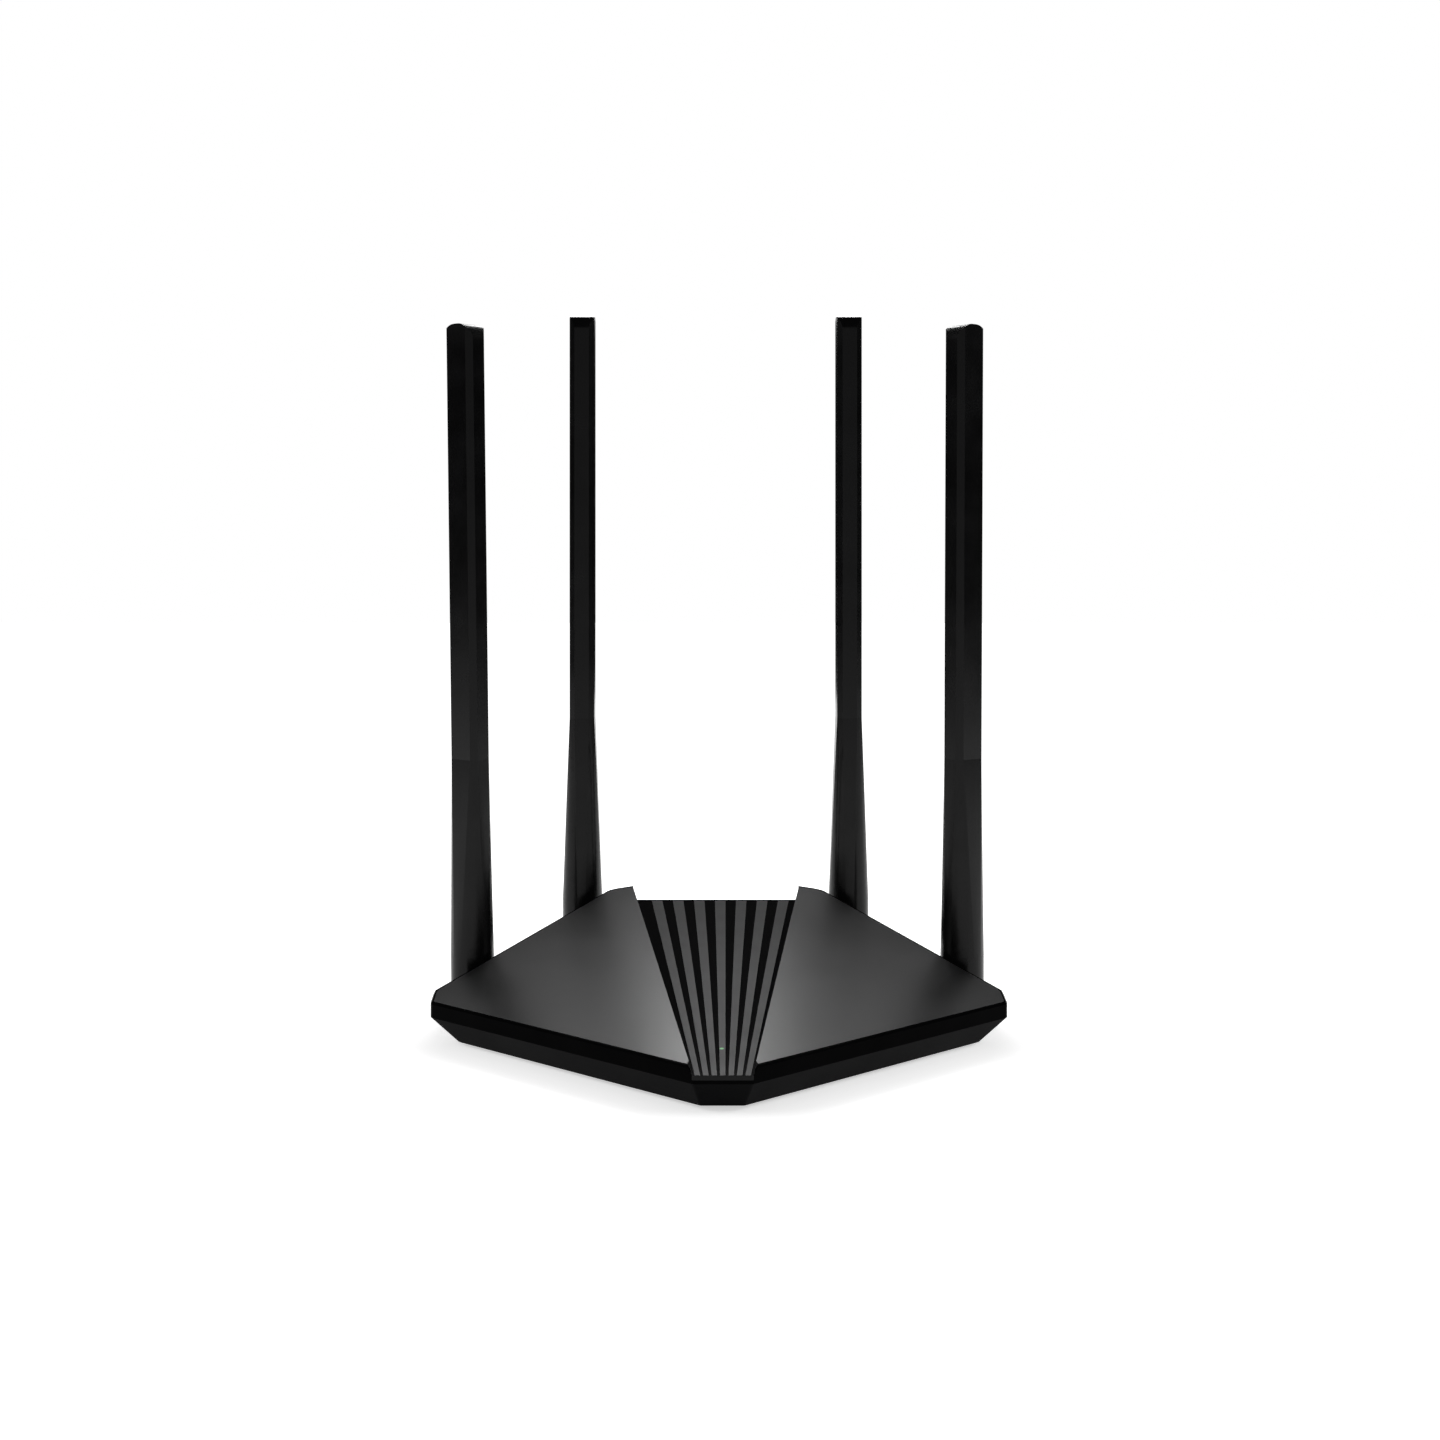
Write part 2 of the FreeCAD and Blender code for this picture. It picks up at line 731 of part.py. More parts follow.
def swivel_hub(which):
    end = socket_face - socket_length[which]
    hub = along_y(journal_radius, end - hinge_clearance, socket_face)
    hub = hub.fuse(along_y(flange_radius, socket_face, flange_front))
    half = tongue_width / 2
    rise = tongue_radius - tongue_flat
    hub = hub.fuse(box((-half, half), (flange_front, 0), (-rise, rise)))
    hub = hub.fuse(along_x(tongue_radius, half))
    barb_end = end - hinge_clearance - stem_barb_length
    head = Part.makeCone(stem_barb_radius[0], stem_barb_radius[1], stem_barb_length,
                         Vector(0, barb_end, 0), Vector(0, 1, 0))
    hub = hub.fuse(head)
    slit = box((-stem_slit / 2, stem_slit / 2), (end - 4, end - 4 + stem_slit_length), (-6, 6))
    hub = hub.cut(slit)
    hub = hub.cut(along_y(stem_bore_radius, end - 4, socket_face + 1))
    return hub.cut(along_x(pin_radius + pin_clearance, tongue_width))


# ---- board, sockets, buttons ------------------------------------------------------------
def circuit_board():
    right = [board_inset_front, board_inset_side, board_inset_oblique]
    insets = right + [wall + board_rear_gap] + right[::-1] + [board_inset_front - 2.0]
    plan = inset_points(outline_points, insets)
    board = polygon_prism(plan, board_height, board_thickness)
    for x, y in case_posts:
        board = board.cut(upright(post_radius + 0.6, x, y, 0, 50))
    for x, y in standoffs:
        board = board.cut(upright(board_screw_radius + 0.3, x, y, 0, 50))
    return board


def rj_socket(x):
    """A moulded network socket with a stepped mouth for the plug and its latch."""
    half = rj_width / 2
    body = box((x - half, x + half), (socket_face_y - rj_depth, socket_face_y),
               (board_top, board_top + rj_height))
    y = (mouth_back, socket_face_y + 1)
    body = body.cut(box((x - mouth_width / 2, x + mouth_width / 2), y, (mouth_floor, mouth_roof)))
    z = mouth_floor
    for width, height in latch_steps:
        body = body.cut(box((x - width / 2, x + width / 2), y, (z - height, z)))
        z -= height
    return body


def rj_contacts(x):
    """Eight sprung wires that slope down from the roof of the mouth."""
    wires = []
    for index in range(contact_count):
        low_x = x + (index - (contact_count - 1) / 2) * contact_pitch - contact_width / 2
        corners = [
            Vector(low_x, mouth_back, mouth_roof - contact_drop),
            Vector(low_x, mouth_back, mouth_roof - contact_drop + contact_thickness),
            Vector(low_x, mouth_back + 8, mouth_roof),
            Vector(low_x, mouth_back + 9, mouth_roof),
        ]
        face = Part.Face(Part.makePolygon(corners + corners[:1]))
        wires.append(face.extrude(Vector(contact_width, 0, 0)))
    return wires


def rearward(radius, x, y, z, length):
    return Part.makeCylinder(radius, length, Vector(x, y, z), Vector(0, 1, 0))


def dc_jack():
    half = jack_width / 2
    body = box((jack_x - half, jack_x + half), (socket_face_y - jack_depth, socket_face_y),
               (board_top, board_top + jack_height))
    bore_back = socket_face_y - jack_bore_depth
    return body.cut(rearward(jack_bore, jack_x, bore_back, jack_axis_z, jack_bore_depth))


def dc_pin():
    length = jack_bore_depth - jack_pin_setback
    pin = rearward(jack_pin_radius, jack_x, socket_face_y - jack_bore_depth, jack_axis_z, length)
    tip = Vector(jack_x, socket_face_y - jack_pin_setback, jack_axis_z)
    return pin.fuse(Part.makeSphere(jack_pin_radius, tip))


def button(name):
    """A round cap with a flange behind the wall and a stem that reaches its switch."""
    x, z = button_x[name], board_top + button_height
    radius = button_radius[name]
    start = inner_rear_y - hinge_clearance - button_flange_thickness
    cap = rearward(radius, x, start, z, rear_y + button_proud[name] - start)
    return cap.fuse(rearward(radius + button_flange, x, start, z, button_flange_thickness))


def button_switch(name):
    """The switch on the board, whose front stands just past the button's travel."""
    x, z = button_x[name], board_top + button_height
    front = inner_rear_y - 2 * hinge_clearance - button_flange_thickness - button_travel[name]
    return box((x - switch_width / 2, x + switch_width / 2), (front - switch_depth, front),
               (board_top, z + switch_rise))


def case_screws():
    screws = []
    for x, y in case_posts:
        head_low = floor_z + wall
        head = upright(screw_head_radius, x, y, head_low, head_low + screw_head_height)
        shank = upright(case_screw_radius, x, y, head_low + screw_head_height, case_screw_top())
        reach, half = cross_length / 2, cross_width / 2
        depth = (head_low - 1, head_low + cross_depth)
        cross = box((x - reach, x + reach), (y - half, y + half), depth)
        cross = cross.fuse(box((x - half, x + half), (y - reach, y + reach), depth))
        screws.append(head.fuse(shank).cut(cross))
    return screws


def board_screws():
    screws = []
    for x, y in standoffs:
        head = upright(board_screw_head_radius, x, y, board_top, board_top + board_screw_head_height)
        shank = upright(board_screw_radius, x, y, board_height - board_screw_reach, board_top)
        screws.append(head.fuse(shank))
    return screws


def heat_sink(x, y, z):
    half = heat_sink_size / 2
    pitch = (heat_sink_size - fin_thickness) / (fin_count - 1)
    base = box((x - half, x + half), (y - half, y + half), (z, z + heat_sink_base))
    for index in range(fin_count):
        fin_x = x - half + index * pitch
        base = base.fuse(box((fin_x, fin_x + fin_thickness), (y - half, y + half),
                             (z + heat_sink_base, z + heat_sink_height)))
    return base


def block_on_board(x, y, size, z, height):
    """A plain block centred on one place of the board."""
    return box((x - size[0] / 2, x + size[0] / 2), (y - size[1] / 2, y + size[1] / 2), (z, z + height))


def shield_can(x, y, size):
    inner_size = [length - 2 * shield_wall for length in size]
    outer = block_on_board(x, y, size, board_top, shield_height)
    return outer.cut(block_on_board(x, y, inner_size, board_top, shield_height - shield_wall))


def tube(points, radius):
    """A round lead along straight runs joined by tangent arcs."""
    edges = []
    start = points[0]
    for before, here, after in zip(points, points[1:], points[2:]):
        to_before = (before - here).normalize()
        to_after = (after - here).normalize()
        half_angle = to_before.getAngle(to_after) / 2
        reach = 0.45 * min((before - here).Length, (after - here).Length)
        bend = reach * math.tan(half_angle)
        middle = here + (to_before + to_after).normalize() * (bend / math.sin(half_angle) - bend)
        edges.append(Part.LineSegment(start, here + to_before * reach).toShape())
        edges.append(Part.Arc(here + to_before * reach, middle, here + to_after * reach).toShape())
        start = here + to_after * reach
    edges.append(Part.LineSegment(start, points[-1]).toShape())
    path = Part.Wire(edges)
    direction = (points[1] - points[0]).normalize()
    circle = Part.Wire(Part.Circle(points[0], direction, radius).toShape())
    return path.makePipeShell([circle], True, True)


def lead_connector_place(which, side):
    x, y = lead_places[which]
    return (side * x, y)


def coax_lead(which, side):
    """A thin lead from the hollow stem's inner end down to its socket on the board."""
    turn = math.radians(hinge_turn[which])
    outward = Vector(side * math.sin(turn), math.cos(turn), 0)
    stem_end = hinge_point(which, side) + outward * (socket_face - socket_length[which] - 3.2)
    x, y = lead_connector_place(which, side)
    landing = Vector(x, y, board_top + connector_height)
    above = landing + Vector(0, 0, max(3.5, (stem_end.z - landing.z) * 0.9))
    return tube([stem_end, stem_end - outward * 9.0, above, landing], lead_radius)


def light_pipe():
    y = nose_y + light_setback
    pipe = upright(light_radius, 0, y, board_top + led_height + light_pipe_gap, body_height)
    return pipe.common(under_panel(0.0))


def main():
    os.makedirs("parts", exist_ok=True)
    node("lower_case", lower_case())
    node("upper_case", upper_case())
    node("left_wing_cover", wing_cover(-1))
    node("right_wing_cover", wing_cover(1))
    node("centre_panel", centre_panel())
    node("circuit_board", circuit_board())
    for name, x in rj_x.items():
        node(name, rj_socket(x))
        node(name.replace("socket", "contacts"), *rj_contacts(x))
    node("dc_jack", dc_jack())
    node("dc_jack_pin", dc_pin())
    for name in button_x:
        node(name, button(name))
        node(name.replace("button", "switch"), button_switch(name))
    node("case_screws", *case_screws())
    node("board_screws", *board_screws())
    node("rubber_feet", *[upright(foot_radius, x, y, 0, floor_z + foot_recess) for x, y in feet])
    node("blank_label", label_block(label_gap).common(
        box((-REACH, REACH), (-REACH, REACH), (floor_z, REACH))))
    node("light_pipe", light_pipe())
    led = (led_size, led_size)
    node("status_led", block_on_board(0.0, nose_y + light_setback, led, board_top, led_height))
    chip = (processor_size, processor_size)
    pad_z = board_top + processor_height
    sink_z = pad_z + thermal_pad_thickness
    node("processor", block_on_board(processor_x, rear_row_y, chip, board_top, processor_height))
    node("thermal_pad", block_on_board(processor_x, rear_row_y, chip, pad_z, thermal_pad_thickness))
    node("heat_sink", heat_sink(processor_x, rear_row_y, sink_z))
    node("radio_shield_1", shield_can(rear_shield_x, rear_row_y, rear_shield_size))
    node("radio_shield_2", shield_can(0.0, front_row_y, front_shield_size))
    transformer_y = socket_face_y - rj_depth - transformer_gap - transformer_size[1] / 2
    node("network_transformers", *[
        block_on_board(x, transformer_y, transformer_size, board_top, transformer_size[2])
        for x in rj_x.values()])
    capacitor_places = (
        (jack_x - 1.0, socket_face_y - jack_depth - 2 * capacitor_radius),
        (processor_x + 24.0, rear_row_y + 6.0),
        (processor_x + 24.0, rear_row_y - 2.0),
    )
    node("capacitors", *[
        upright(capacitor_radius, x, y, board_top, board_top + capacitor_height)
        for x, y in capacitor_places])
    connectors = [lead_connector_place(which, side) for name, which, side in ANTENNAS]
    node("coax_connectors", *[
        upright(connector_radius, x, y, board_top, board_top + connector_height) for x, y in connectors])
    node("coax_leads", *[coax_lead(which, side) for name, which, side in ANTENNAS])
    for name, which, side in ANTENNAS:
        node(name + "_swivel_hub", placed(swivel_hub(which), which, side))
        node(name + "_hinge_pin", placed(hinge_pin(), which, side))
        node(name + "_fork_foot", placed(fork_foot(), which, side))
        node(name + "_sleeve", placed(sleeve(), which, side))
        node(name + "_radiator", placed(radiator_slot(), which, side))


main()
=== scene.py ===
import math

import bpy
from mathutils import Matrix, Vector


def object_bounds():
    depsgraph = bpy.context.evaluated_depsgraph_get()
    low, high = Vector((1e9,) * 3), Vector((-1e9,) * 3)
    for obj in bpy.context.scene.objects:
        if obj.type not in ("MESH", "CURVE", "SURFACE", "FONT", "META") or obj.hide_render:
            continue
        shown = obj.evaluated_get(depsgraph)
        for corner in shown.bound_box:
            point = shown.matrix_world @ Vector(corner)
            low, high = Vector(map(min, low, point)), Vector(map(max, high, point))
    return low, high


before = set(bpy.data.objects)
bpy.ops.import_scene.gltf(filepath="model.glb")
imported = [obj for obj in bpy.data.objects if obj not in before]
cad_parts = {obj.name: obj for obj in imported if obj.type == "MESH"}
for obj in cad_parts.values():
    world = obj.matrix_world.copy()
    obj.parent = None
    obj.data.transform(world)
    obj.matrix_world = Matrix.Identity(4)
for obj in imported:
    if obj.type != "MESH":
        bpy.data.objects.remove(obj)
cad_low, cad_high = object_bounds()

# Camera: level, looking along +Y from in front and above, with the lens shifted to frame the router.
CAMERA_PLACE = (-0.00956, cad_low.y - 0.577175, 0.1780)
CAMERA_LENS = 45.675
CAMERA_SENSOR = 36.0
CAMERA_SHIFT = (0.0191, -0.1158)

# Studio, in metres. The floor glows between two distances from the router, and less near it.
FLOOR_SIZE = 8.0
BACKGROUND = 1.0
AMBIENT = 0.30
FLOOR_GLOW = (0.55, 1.0)
FLOOR_GLOW_RANGE = (0.13, 0.29)
ROOM_HALF_WIDTH = 1.3
ROOM_FRONT = -1.6
ROOM_REAR = 1.6
CEILING_HEIGHT = 0.95

# Softboxes: place, target, and width and height, all in metres, and power in watts.
SOFTBOXES = {
    "rear_light": ((0.0, 0.34, 0.36), (0.0, -0.07, 0.02), (0.6, 0.12), 0.45),
    "top_light": ((0.0, 0.30, 0.38), (0.0, -0.09, 0.0), (0.18, 0.11), 1.0),
    "left_light": ((-1.2, -0.3, 0.9), (0.0, 0.0, 0.1), (0.7, 0.7), 7.0),
    "right_light": ((1.2, -0.3, 0.9), (0.0, 0.0, 0.1), (0.7, 0.7), 7.0),
    "front_light": ((0.0, -1.5, 0.35), (0.0, 0.0, 0.12), (1.2, 1.0), 1.8),
}

# Centre panel, in metres: its rib tops lie on a plane that rises towards the rear.
PANEL_FRONT_Z = 0.01306
PANEL_SLOPE = 0.1339
RIB_MIDDLE = 0.00015
GROOVE_ROUGHNESS = 0.08

# Rounding of the wing covers' edges, in metres, and the sharpest fold that stays as it is.
WING_EDGE_RADIUS = 0.00035
WING_EDGE_STEPS = 3
WING_EDGE_ANGLE = math.radians(35.0)

# Surface textures: scales are in cells per metre, depths in metres.
SLOW_TONE_SCALE = 45.0
HAZE_SCALE = 70.0
MOULD_GRAIN_SCALE = 2600.0
MOULD_GRAIN_DEPTH = 0.00002
RIPPLE_SCALE = 110.0
RIPPLE_DEPTH = 0.00001
METAL_GRAIN_SCALE = 900.0
METAL_GRAIN_DEPTH = 0.00001
RUBBER_GRAIN_SCALE = 1200.0
RUBBER_GRAIN_DEPTH = 0.00004


class Finish:
    """A node material being made: one Principled surface and the nodes that feed it."""

    def __init__(self, name, roughness=0.5, specular=0.5, metallic=0.0):
        self.material = bpy.data.materials.new(name)
        self.material.use_nodes = True
        self.tree = self.material.node_tree
        self.surface = self.tree.nodes["Principled BSDF"]
        self.surface.inputs["Roughness"].default_value = roughness
        self.surface.inputs["Specular IOR Level"].default_value = specular
        self.surface.inputs["Metallic"].default_value = metallic
        self.place = self.tree.nodes.new("ShaderNodeTexCoord").outputs["Object"]

    def link(self, source, node, socket):
        self.tree.links.new(source, node.inputs[socket])

    def noise(self, scale, detail=2.0, stretch=None):
        """A noise value from 0 to 1 over the piece; stretch draws it out along an axis."""
        node = self.tree.nodes.new("ShaderNodeTexNoise")
        node.inputs["Scale"].default_value = scale
        node.inputs["Detail"].default_value = detail
        place = self.place
        if stretch:
            mapping = self.tree.nodes.new("ShaderNodeMapping")
            mapping.inputs["Scale"].default_value = stretch
            self.link(place, mapping, "Vector")
            place = mapping.outputs["Vector"]
        self.link(place, node, "Vector")
        return node.outputs["Fac"]

    def spread(self, value, low, high, value_low=0.3, value_high=0.7):
        """A value mapped from one range to another."""
        node = self.tree.nodes.new("ShaderNodeMapRange")
        limits = {"From Min": value_low, "From Max": value_high, "To Min": low, "To Max": high}
        for socket, number in limits.items():
            node.inputs[socket].default_value = number
        self.link(value, node, "Value")
        return node.outputs["Result"]

    def mix(self, factor, first, second):
        """A colour between two colours, by a factor from 0 to 1."""
        node = self.tree.nodes.new("ShaderNodeMix")
        node.data_type = "RGBA"
        node.inputs[6].default_value = (*first, 1.0)
        node.inputs[7].default_value = (*second, 1.0)
        self.link(factor, node, 0)
        return node.outputs[2]

    def calculate(self, operation, first, second):
        """The sum, product or other combination of two values, each a number or a node's output."""
        node = self.tree.nodes.new("ShaderNodeMath")
        node.operation = operation
        for index, value in enumerate((first, second)):
            if isinstance(value, (int, float)):
                node.inputs[index].default_value = value
            else:
                self.link(value, node, index)
        return node.outputs[0]

    def bump(self, height, distance, strength=1.0):
        node = self.tree.nodes.new("ShaderNodeBump")
        node.inputs["Strength"].default_value = strength
        node.inputs["Distance"].default_value = distance
        self.link(height, node, "Height")
        self.link(node.outputs["Normal"], self.surface, "Normal")

    def colour(self, value):
        self.link(value, self.surface, "Base Color")

    def roughness(self, value):
        self.link(value, self.surface, "Roughness")


def black(level, blue):
    """A near-black colour with its blue given apart, since such plastics lean a little to blue."""
    return (level, level, blue)


def moulded(name, dark, light, rough_low, rough_high, specular=0.5,
            grain=MOULD_GRAIN_SCALE, depth=MOULD_GRAIN_DEPTH):
    """Moulded plastic: a fine spark-eroded grain, with slow changes of tone and sheen over the piece."""
    finish = Finish(name, specular=specular)
    slow = finish.noise(SLOW_TONE_SCALE, 4.0)
    finish.colour(finish.mix(finish.spread(slow, 0.0, 1.0), dark, light))
    finish.roughness(finish.spread(slow, rough_low, rough_high))
    finish.bump(finish.noise(grain, 1.0), depth, 0.5)
    return finish.material


def polished(name, dark, light, rough_low, rough_high, specular=0.5):
    """Polished black plastic: smooth, with faint handling haze and a very slight moulding ripple."""
    finish = Finish(name, specular=specular)
    haze = finish.noise(HAZE_SCALE, 5.0)
    finish.colour(finish.mix(finish.spread(haze, 0.0, 1.0), dark, light))
    finish.roughness(finish.spread(haze, rough_low, rough_high))
    finish.bump(finish.noise(RIPPLE_SCALE, 2.0), RIPPLE_DEPTH, 0.3)
    return finish.material


def metal(name, dark, light, rough_low, rough_high, stretch=None):
    """Bare or plated metal, with brushed or cast variation."""
    finish = Finish(name, metallic=1.0)
    grain = finish.noise(METAL_GRAIN_SCALE, 3.0, stretch)
    finish.colour(finish.mix(finish.spread(grain, 0.0, 1.0), dark, light))
    finish.roughness(finish.spread(grain, rough_low, rough_high))
    finish.bump(grain, METAL_GRAIN_DEPTH, 0.4)
    return finish.material


def panel_plastic():
    """The centre panel: satin rib tops and polished grooves, told apart by height above the panel. The
    grooves get a darker colour than the rib tops, which is painted shade in the recesses.
    """
    finish = Finish("panel_plastic", specular=0.11)
    parts = finish.tree.nodes.new("ShaderNodeSeparateXYZ")
    finish.link(finish.place, parts, "Vector")
    along = finish.calculate("SUBTRACT", parts.outputs["Y"], float(cad_low.y))
    plane = finish.calculate("ADD", finish.calculate("MULTIPLY", along, PANEL_SLOPE), PANEL_FRONT_Z)
    height = finish.calculate("SUBTRACT", parts.outputs["Z"], plane)
    top = finish.calculate("GREATER_THAN", height, -RIB_MIDDLE)
    # Darker colour in the grooves than on the rib tops: painted shade in the recesses between the ribs.
    finish.colour(finish.mix(top, (0.004, 0.004, 0.0042), (0.012, 0.012, 0.0125)))
    satin = finish.spread(finish.noise(60.0, 4.0), 0.36, 0.42)
    rough = finish.calculate("ADD", finish.calculate("MULTIPLY", top, satin), GROOVE_ROUGHNESS)
    finish.roughness(rough)
    grain = finish.calculate("MULTIPLY", finish.noise(MOULD_GRAIN_SCALE, 1.0), top)
    finish.bump(grain, MOULD_GRAIN_DEPTH, 0.5)
    return finish.material


def board():
    """Circuit board: green solder mask over copper pours, with a fine weave beneath."""
    finish = Finish("board", specular=0.5)
    copper = finish.noise(180.0, 1.0)
    pour = finish.spread(copper, 0.0, 1.0, 0.49, 0.51)
    finish.colour(finish.mix(pour, (0.008, 0.075, 0.03), (0.016, 0.13, 0.05)))
    finish.roughness(finish.spread(copper, 0.28, 0.4))
    finish.bump(finish.noise(1500.0, 1.0), 0.00002, 0.5)
    return finish.material


def lit(name, colour, strength):
    """A clear green part that glows."""
    finish = Finish(name, roughness=0.2)
    glow = finish.noise(900.0, 1.0)
    finish.colour(finish.mix(finish.spread(glow, 0.0, 1.0), colour, tuple(0.8 * c for c in colour)))
    finish.surface.inputs["Emission Color"].default_value = (*colour, 1.0)
    finish.surface.inputs["Emission Strength"].default_value = strength
    return finish.material


def plastics():
    """The moulded and polished plastics and rubbers."""
    return [
        moulded("base_plastic", black(0.003, 0.0032), black(0.005, 0.0053), 0.38, 0.5, 0.01),
        polished("band_plastic", black(0.0012, 0.0013), black(0.002, 0.0021), 0.12, 0.2, 0.006),
        moulded("wing_plastic", black(0.007, 0.0073), black(0.009, 0.0094), 0.33, 0.36, 0.42),
        panel_plastic(),
        polished("antenna_plastic", black(0.002, 0.0021), black(0.003, 0.0032), 0.2, 0.28, 0.15),
        moulded("hub_plastic", black(0.003, 0.0032), black(0.005, 0.0053), 0.35, 0.45, 0.4),
        moulded("button_plastic", black(0.006, 0.0063), black(0.009, 0.0094), 0.35, 0.45),
        moulded("socket_plastic", black(0.005, 0.0053), black(0.008, 0.0084), 0.35, 0.45),
        moulded("foot_rubber", black(0.012, 0.012), black(0.02, 0.02), 0.7, 0.9, 0.3,
                RUBBER_GRAIN_SCALE, RUBBER_GRAIN_DEPTH),
        moulded("label_film", (0.42, 0.42, 0.42), (0.48, 0.48, 0.48), 0.35, 0.45),
        moulded("chip", black(0.008, 0.008), black(0.014, 0.014), 0.5, 0.65),
        moulded("thermal_pad", (0.3, 0.33, 0.4), (0.38, 0.41, 0.48), 0.7, 0.8, 0.3),
        moulded("lead_jacket", black(0.006, 0.006), black(0.01, 0.01), 0.45, 0.6),
    ]


def metals():
    """The bare and plated metals; a stretch draws the grain out along the brushed direction."""
    return [
        metal("gold_contacts", (0.75, 0.5, 0.15), (0.9, 0.66, 0.28), 0.15, 0.3),
        metal("plated_metal", (0.55, 0.55, 0.55), (0.72, 0.72, 0.7), 0.25, 0.4, (1.0, 1.0, 12.0)),
        metal("steel", (0.38, 0.38, 0.4), (0.55, 0.55, 0.57), 0.25, 0.4),
        metal("heat_sink", (0.4, 0.4, 0.42), (0.55, 0.55, 0.57), 0.35, 0.5, (1.0, 9.0, 1.0)),
        metal("capacitor", (0.3, 0.3, 0.33), (0.42, 0.42, 0.45), 0.3, 0.4),
    ]


def slot_name(material):
    """The slot that a material is for: its name without the number that Blender may add."""
    return material.name.split(".")[0]


def finishes():
    """One material for each of the record's slots, by slot name."""
    lights = [lit("light_pipe", (0.08, 0.24, 0.09), 0.7), lit("led", (0.06, 0.40, 0.10), 0.9)]
    return {slot_name(material): material for material in plastics() + metals() + lights + [board()]}


def finish_nodes():
    """Gives every CAD node the material of its slot."""
    materials = finishes()
    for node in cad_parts.values():
        for index, slot in enumerate(node.material_slots):
            node.material_slots[index].material = materials[slot_name(slot.material)]


def soften_edges():
    """A small rounding on the wing covers' edges, which catches the light as a thin line."""
    for name in ("left_wing_cover", "right_wing_cover"):
        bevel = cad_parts[name].modifiers.new("soft_edges", "BEVEL")
        bevel.width = WING_EDGE_RADIUS
        bevel.segments = WING_EDGE_STEPS
        bevel.limit_method = "ANGLE"
        bevel.angle_limit = WING_EDGE_ANGLE


def background_rays(tree):
    """1 for camera, mirror and transmission rays, and 0 for the rest."""
    path = tree.nodes.new("ShaderNodeLightPath")
    total = path.outputs["Is Camera Ray"]
    for ray in ("Is Glossy Ray", "Is Transmission Ray"):
        node = tree.nodes.new("ShaderNodeMath")
        node.operation = "ADD"
        node.use_clamp = True
        tree.links.new(total, node.inputs[0])
        tree.links.new(path.outputs[ray], node.inputs[1])
        total = node.outputs[0]
    return total


def make_world():
    """A white surrounding, dimmer as a light than as a background."""
    world = bpy.data.worlds.new("studio")
    bpy.context.scene.world = world
    world.use_nodes = True
    tree = world.node_tree
    shade = tree.nodes["Background"]
    shade.inputs["Color"].default_value = (1.0, 1.0, 1.0, 1.0)
    strength = tree.nodes.new("ShaderNodeMapRange")
    strength.inputs["To Min"].default_value = AMBIENT
    strength.inputs["To Max"].default_value = BACKGROUND
    tree.links.new(background_rays(tree), strength.inputs["Value"])
    tree.links.new(strength.outputs["Result"], shade.inputs["Strength"])


def make_floor():
    """A pale floor that reads white and keeps the router's soft shadow."""
    mesh = bpy.data.meshes.new("floor")
    half = FLOOR_SIZE / 2
    corners = [(-half, -half, 0.0), (half, -half, 0.0), (half, half, 0.0), (-half, half, 0.0)]
    mesh.from_pydata(corners, [], [(0, 1, 2, 3)])
    floor = bpy.data.objects.new("floor", mesh)
    bpy.context.scene.collection.objects.link(floor)
    floor.location.z = cad_low.z
    finish = Finish("floor_paint", roughness=0.9, specular=0.0)
    finish.colour(finish.mix(finish.noise(3.0), (0.80, 0.80, 0.80), (0.82, 0.82, 0.82)))
    finish.surface.inputs["Emission Color"].default_value = (1.0, 1.0, 1.0, 1.0)
    away = finish.tree.nodes.new("ShaderNodeVectorMath")
    away.operation = "LENGTH"
    finish.link(finish.place, away, 0)
    glow = finish.spread(away.outputs["Value"], *FLOOR_GLOW, *FLOOR_GLOW_RANGE)
    glow = finish.calculate("MULTIPLY", background_rays(finish.tree), glow)
    finish.link(glow, finish.surface, "Emission Strength")
    mesh.materials.append(finish.material)


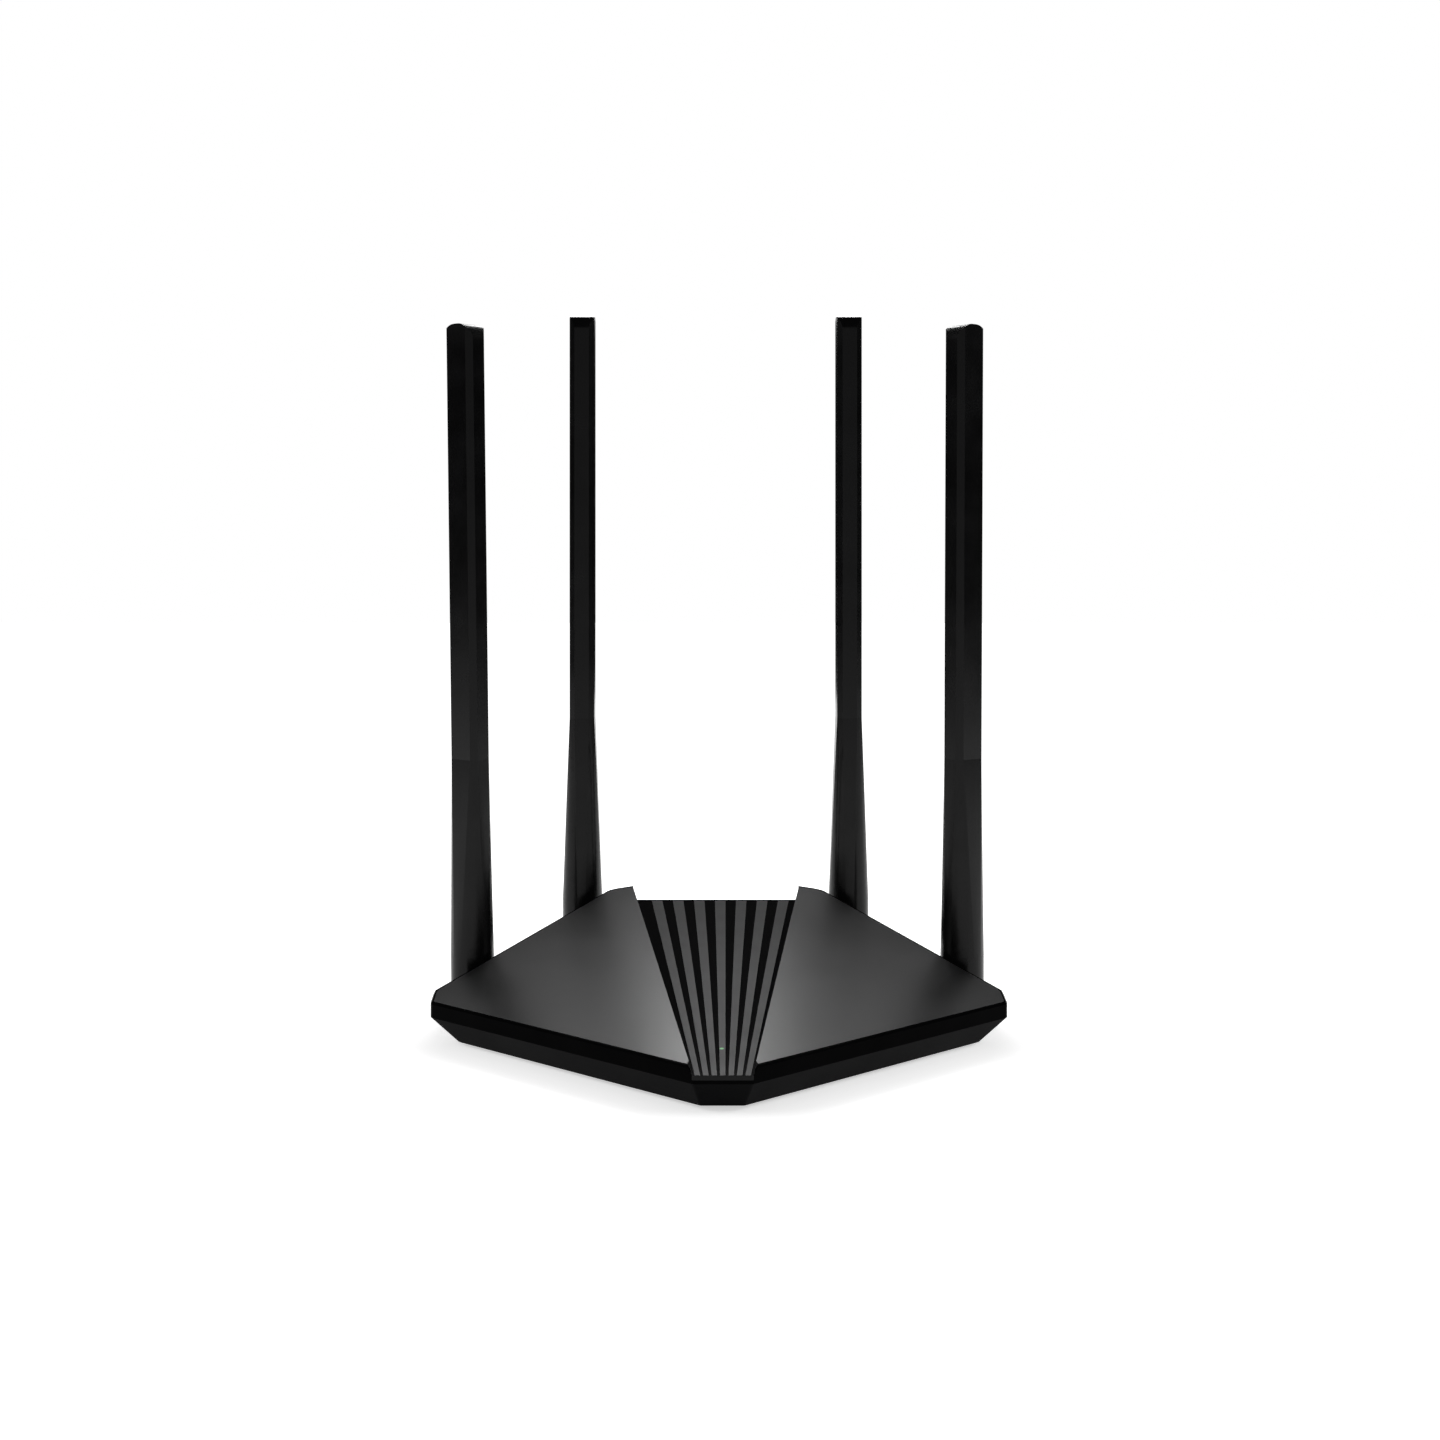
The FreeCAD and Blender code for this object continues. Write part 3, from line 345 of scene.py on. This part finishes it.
def make_dark_room():
    """Dark studio walls and a dark ceiling that only reflections show, as a black product is lit."""
    plan = [(-ROOM_HALF_WIDTH, ROOM_REAR), (-ROOM_HALF_WIDTH, ROOM_FRONT),
            (ROOM_HALF_WIDTH, ROOM_FRONT), (ROOM_HALF_WIDTH, ROOM_REAR)]
    corners = [(x, y, z) for z in (0.0, CEILING_HEIGHT) for x, y in plan]
    walls = [(index, (index + 1) % 4, (index + 1) % 4 + 4, index + 4) for index in range(4)]
    ceiling = (4, 5, 6, 7)
    mesh = bpy.data.meshes.new("dark_room")
    mesh.from_pydata(corners, [], walls + [ceiling])
    room = bpy.data.objects.new("dark_room", mesh)
    bpy.context.scene.collection.objects.link(room)
    room.visible_camera = False
    room.visible_diffuse = False
    room.visible_transmission = False
    room.visible_volume_scatter = False
    room.visible_shadow = False
    finish = Finish("dark_cloth", roughness=1.0, specular=0.0)
    finish.colour(finish.mix(finish.noise(2.0), (0.003, 0.003, 0.003), (0.005, 0.005, 0.005)))
    mesh.materials.append(finish.material)


def softbox(name, place, target, size, power):
    """A rectangular soft light at a place, facing a target."""
    lamp = bpy.data.lights.new(name, "AREA")
    lamp.shape = "RECTANGLE"
    lamp.size, lamp.size_y = size
    lamp.energy = power
    light = bpy.data.objects.new(name, lamp)
    bpy.context.scene.collection.objects.link(light)
    light.location = place
    direction = [t - p for t, p in zip(target, place)]
    yaw = math.atan2(direction[1], direction[0]) - math.pi / 2
    pitch = math.atan2(direction[2], math.hypot(direction[0], direction[1])) + math.pi / 2
    light.rotation_euler = (pitch, 0.0, yaw)
    light.visible_camera = False


def make_lights():
    """A wide softbox and a compact one behind, one at each side, and a dim one behind the camera."""
    for name, (place, target, size, power) in SOFTBOXES.items():
        softbox(name, place, target, size, power)


def make_camera():
    camera = bpy.data.cameras.new("camera")
    camera.lens = CAMERA_LENS
    camera.sensor_width = CAMERA_SENSOR
    camera.shift_x, camera.shift_y = CAMERA_SHIFT
    holder = bpy.data.objects.new("camera", camera)
    bpy.context.scene.collection.objects.link(holder)
    holder.location = CAMERA_PLACE
    holder.rotation_euler = (math.pi / 2, 0.0, 0.0)
    bpy.context.scene.camera = holder


bpy.context.scene.view_settings.view_transform = "Standard"
finish_nodes()
soften_edges()
make_world()
make_floor()
make_dark_room()
make_lights()
make_camera()
